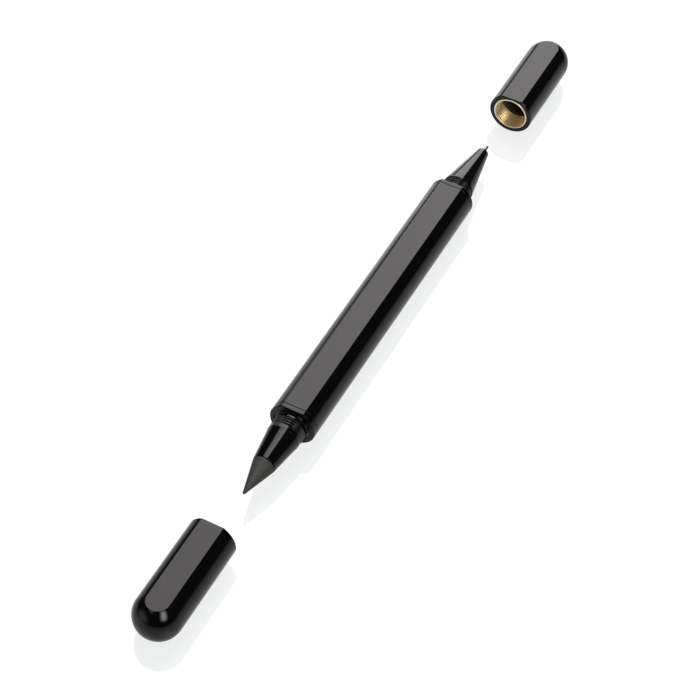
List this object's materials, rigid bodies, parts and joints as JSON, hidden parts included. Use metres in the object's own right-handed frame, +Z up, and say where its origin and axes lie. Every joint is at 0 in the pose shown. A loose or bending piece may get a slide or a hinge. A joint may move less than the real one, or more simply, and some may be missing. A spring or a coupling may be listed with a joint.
{
  "type": "dual-tip pen",
  "caption": "Slim round pen with a milled flat, a graphite point at one end, a ballpoint at the other, and a rounded screw cap for each.",
  "frame": {"origin": "on the table, beneath the middle of the whole row: pen with a cap lying in line beyond each end", "axes": "+X along the pen from the graphite point to the ballpoint, +Z up through the milled flat"},
  "size_m": [0.2192, 0.012, 0.0113],
  "materials": {
    "black_anodised_aluminium": "fine satin, black anodised",
    "black_thread_aluminium": "turned, black anodised",
    "black_lacquered_aluminium": "smooth black lacquer",
    "brass": "turned, bare",
    "graphite": "pressed graphite, dull sheen",
    "nickel_silver": "turned, bright",
    "carbide": "polished",
    "clear_plastic": "clear, extruded",
    "black_plastic": "moulded, matt",
    "grey_plastic": "moulded, matt",
    "ink": "wet"
  },
  "bodies": {
    "barrel": {"barrel_tube": "black_anodised_aluminium", "graphite_end_ring": "black_anodised_aluminium", "graphite_end_bush": "black_thread_aluminium", "ballpoint_end_ring": "black_anodised_aluminium", "ballpoint_end_bush": "black_thread_aluminium", "refill_tip": "nickel_silver", "refill_tube": "clear_plastic", "refill_ink": "ink", "refill_plug": "grey_plastic", "refill_sleeve": "grey_plastic", "refill_stop": "black_plastic"},
    "graphite_cap": {"graphite_cap_shell": "black_anodised_aluminium", "graphite_cap_insert": "brass", "graphite_cap_liner": "black_plastic"},
    "ballpoint_cap": {"ballpoint_cap_shell": "black_anodised_aluminium", "ballpoint_cap_insert": "brass", "ballpoint_cap_liner": "black_plastic"},
    "graphite_tip": {"graphite_holder": "black_lacquered_aluminium", "graphite_lead": "graphite"},
    "ballpoint_nose": {"ballpoint_section": "black_lacquered_aluminium"},
    "ball": {"writing_ball": "carbide"}
  },
  "joints": [
    {"name": "graphite_cap_pull", "type": "slide", "parent": "barrel", "child": "graphite_cap", "axis": [1, 0, 0], "range_m": [0, 0.0368]},
    {"name": "ballpoint_cap_pull", "type": "slide", "parent": "barrel", "child": "ballpoint_cap", "axis": [-1, 0, 0], "range_m": [0, 0.036]},
    {"name": "graphite_tip_turn", "type": "hinge", "parent": "barrel", "child": "graphite_tip", "pos_m": [-0.0429, 0, 0.006], "axis": [1, 0, 0], "continuous": true},
    {"name": "ballpoint_nose_turn", "type": "hinge", "parent": "barrel", "child": "ballpoint_nose", "pos_m": [0.0437, 0, 0.006], "axis": [1, 0, 0], "continuous": true},
    {"name": "ball_roll", "type": "hinge", "parent": "barrel", "child": "ball", "pos_m": [0.06522, 0, 0.006], "axis": [0, 1, 0], "continuous": true}
  ]
}
